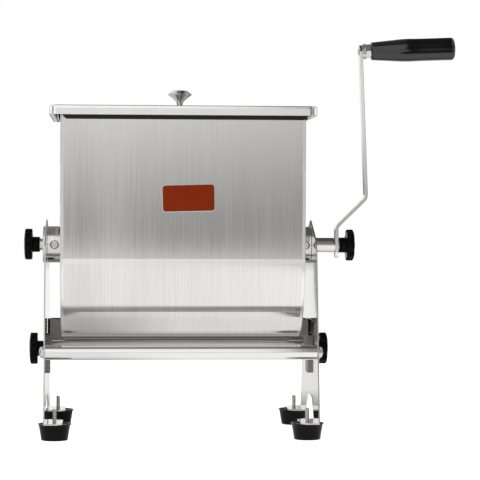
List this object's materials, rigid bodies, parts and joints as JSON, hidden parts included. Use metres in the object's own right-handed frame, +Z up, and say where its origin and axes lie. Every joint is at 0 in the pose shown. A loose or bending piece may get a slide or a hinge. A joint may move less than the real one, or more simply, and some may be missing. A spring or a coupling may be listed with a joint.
{
  "type": "manual meat mixer",
  "caption": "Hand cranked steel meat mixer: lidded tank tilting on hubs between leg plates, with a shaft of paddles, tilt lock knobs, crank handle and rubber feet.",
  "frame": {"origin": "on the table, under the middle of the whole object's box", "axes": "+X along the shaft towards the crank, +Y from front to back, +Z up"},
  "size_m": [0.5396, 0.2274, 0.4956],
  "materials": {
    "brushed_steel": "vertical brushed grain",
    "polished_steel": "bright polished sheet",
    "turned_steel": "fine turned satin",
    "plated_steel": "bright zinc plating",
    "black_plastic": "moulded, semi matt",
    "gloss_black": "moulded, glossy",
    "white_plastic": "machined, smooth",
    "grey_rubber": "smooth food grade",
    "black_rubber": "moulded matt",
    "brown_enamel": "gloss enamel, bare of text"
  },
  "bodies": {
    "stand": {"leg_left": "polished_steel", "lock_block_left": "turned_steel", "leg_right": "polished_steel", "lock_block_right": "turned_steel", "tie_tube_front": "polished_steel", "rubber_foot_front_left": "black_rubber", "rubber_foot_front_right": "black_rubber", "tie_tube_rear": "polished_steel", "rubber_foot_rear_left": "black_rubber", "rubber_foot_rear_right": "black_rubber", "foot_studs": "plated_steel", "tie_tube_plugs": "turned_steel", "tie_screws": "plated_steel", "tie_washers": "plated_steel"},
    "tank": {"tank_end_left": "brushed_steel", "hub_left": "turned_steel", "shaft_bush_left": "white_plastic", "shaft_seal_left": "grey_rubber", "lock_lug_left": "polished_steel", "tank_end_right": "brushed_steel", "hub_right": "turned_steel", "shaft_bush_right": "white_plastic", "shaft_seal_right": "grey_rubber", "lock_lug_right": "polished_steel", "hub_collar_left": "turned_steel", "hub_collar_right": "turned_steel", "hub_set_screws": "plated_steel", "tank_wrap": "brushed_steel", "label_plate": "brown_enamel"},
    "lid": {"lid_sheet": "polished_steel", "lid_knob": "polished_steel", "lid_knob_screw": "plated_steel"},
    "mixing_shaft": {"paddle_shaft": "brushed_steel", "paddle_1": "brushed_steel", "paddle_2": "brushed_steel", "paddle_3": "brushed_steel", "paddle_4": "brushed_steel", "pivot_pin": "turned_steel", "drive_shaft": "turned_steel", "drive_cross_pin": "turned_steel", "crank_arm": "polished_steel", "grip_bolt": "plated_steel", "grip_spring_washer": "plated_steel", "grip_flat_washer": "plated_steel", "grip_nut": "plated_steel"},
    "grip": {"grip_handle": "gloss_black", "grip_end_cap": "gloss_black"},
    "lock_left_washer": {"lock_washer_left": "plated_steel"},
    "lock_left_knob": {"lock_knob_left": "black_plastic", "lock_stud_left": "plated_steel"},
    "lock_right_washer": {"lock_washer_right": "plated_steel"},
    "lock_right_knob": {"lock_knob_right": "black_plastic", "lock_stud_right": "plated_steel"},
    "pivot_washer": {"pivot_washer": "plated_steel"},
    "pivot_knob": {"pivot_knob": "black_plastic", "pivot_stud": "plated_steel"},
    "crank_washer": {"crank_washer": "plated_steel"},
    "crank_knob": {"crank_knob": "black_plastic", "crank_stud": "plated_steel"}
  },
  "joints": [
    {"name": "tank_tilt", "type": "hinge", "parent": "stand", "child": "tank", "pos_m": [0, 0, 0.234], "axis": [1, 0, 0], "range_deg": [-90, 90]},
    {"name": "lid_lift", "type": "slide", "parent": "tank", "child": "lid", "axis": [0, 0, 1], "range_m": [0, 0.25]},
    {"name": "crank_spin", "type": "hinge", "parent": "tank", "child": "mixing_shaft", "pos_m": [0, 0, 0.234], "axis": [1, 0, 0], "continuous": true},
    {"name": "grip_spin", "type": "hinge", "parent": "mixing_shaft", "child": "grip", "pos_m": [0.15074, 0, 0.4769], "axis": [0.9992, 0, 0.0401], "continuous": true},
    {"name": "lock_left_travel", "type": "slide", "parent": "stand", "child": "lock_left_washer", "axis": [-1, 0, 0], "range_m": [0, 0.00251]},
    {"name": "lock_left_turn", "type": "hinge", "parent": "lock_left_washer", "child": "lock_left_knob", "pos_m": [0, 0, 0.1045], "axis": [-1, 0, 0], "range_deg": [0, 720]},
    {"name": "lock_right_travel", "type": "slide", "parent": "stand", "child": "lock_right_washer", "axis": [1, 0, 0], "range_m": [0, 0.00251]},
    {"name": "lock_right_turn", "type": "hinge", "parent": "lock_right_washer", "child": "lock_right_knob", "pos_m": [0, 0, 0.1045], "axis": [1, 0, 0], "range_deg": [0, 720]},
    {"name": "pivot_travel", "type": "slide", "parent": "mixing_shaft", "child": "pivot_washer", "axis": [-1, 0, 0], "range_m": [0, 0.00251]},
    {"name": "pivot_turn", "type": "hinge", "parent": "pivot_washer", "child": "pivot_knob", "pos_m": [0, 0, 0.234], "axis": [-1, 0, 0], "range_deg": [0, 720]},
    {"name": "crank_travel", "type": "slide", "parent": "mixing_shaft", "child": "crank_washer", "axis": [1, 0, 0], "range_m": [0, 0.00251]},
    {"name": "crank_turn", "type": "hinge", "parent": "crank_washer", "child": "crank_knob", "pos_m": [0, 0, 0.234], "axis": [1, 0, 0], "range_deg": [0, 720]}
  ],
  "couplings": [
    {"joint": "lock_left_travel", "follows": "lock_left_turn", "m_per_rad": 0.00019894},
    {"joint": "lock_right_travel", "follows": "lock_right_turn", "m_per_rad": 0.00019894},
    {"joint": "pivot_travel", "follows": "pivot_turn", "m_per_rad": 0.00019894},
    {"joint": "crank_travel", "follows": "crank_turn", "m_per_rad": 0.00019894}
  ]
}
